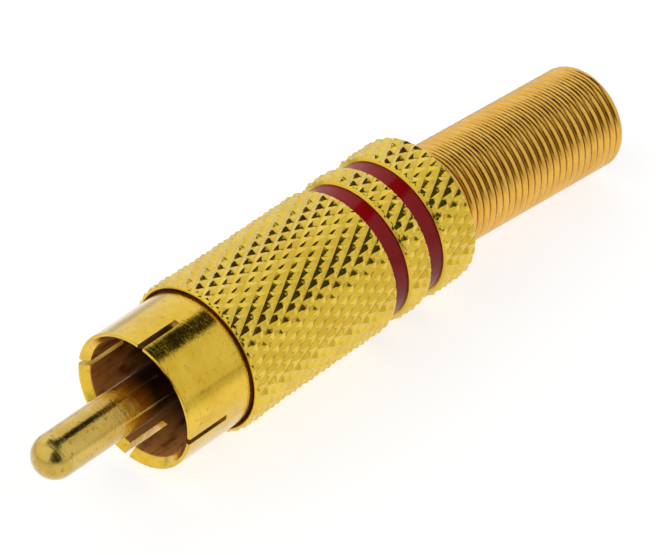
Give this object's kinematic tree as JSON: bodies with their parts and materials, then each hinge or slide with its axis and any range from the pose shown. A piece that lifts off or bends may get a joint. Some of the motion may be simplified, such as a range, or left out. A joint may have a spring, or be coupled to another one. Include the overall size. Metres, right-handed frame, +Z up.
{
  "type": "phono plug",
  "caption": "Straight solder-type phono plug with a slotted contact sleeve, a knurled screw-off barrel with colour bands and a coil-spring cable strain relief.",
  "frame": {"origin": "centre of the contact sleeve's front rim, on the plug's axis", "axes": "+X along the plug's axis towards the cable, so the centre pin points to -X; +Z up with the plug lying on a table"},
  "size_m": [0.0536, 0.011, 0.011],
  "materials": {
    "bright_gold": "polished gold plate",
    "knurled_gold": "bright gold plate over a diamond knurl",
    "satin_gold": "satin gold-coloured plate on spring wire",
    "red_enamel": "glossy red enamel",
    "dark_bush": "moulded",
    "pale_liner": "drawn tube"
  },
  "bodies": {
    "contacts": {"centre_pin": "bright_gold", "insulator": "dark_bush", "contact_sleeve": "bright_gold", "ground_clamp": "bright_gold"},
    "liner": {"insulating_liner": "pale_liner"},
    "barrel": {"barrel": "knurled_gold", "front_colour_band": "red_enamel", "rear_colour_band": "red_enamel"},
    "spring": {"strain_relief_spring": "satin_gold"}
  },
  "joints": [
    {"name": "barrel_advance", "type": "slide", "parent": "contacts", "child": "liner", "axis": [1, 0, 0], "range_m": [0, 0.0045]},
    {"name": "barrel_turn", "type": "hinge", "parent": "liner", "child": "barrel", "pos_m": [0.0168, 0, 0], "axis": [1, 0, 0], "range_deg": [0, 2160]},
    {"name": "spring_lean", "type": "hinge", "parent": "liner", "child": "spring", "pos_m": [0.0269, 0, 0], "axis": [0, -1, 0], "range_deg": [0, 11.4]}
  ],
  "couplings": [
    {"joint": "barrel_advance", "follows": "barrel_turn", "m_per_rad": 0.00011937}
  ]
}
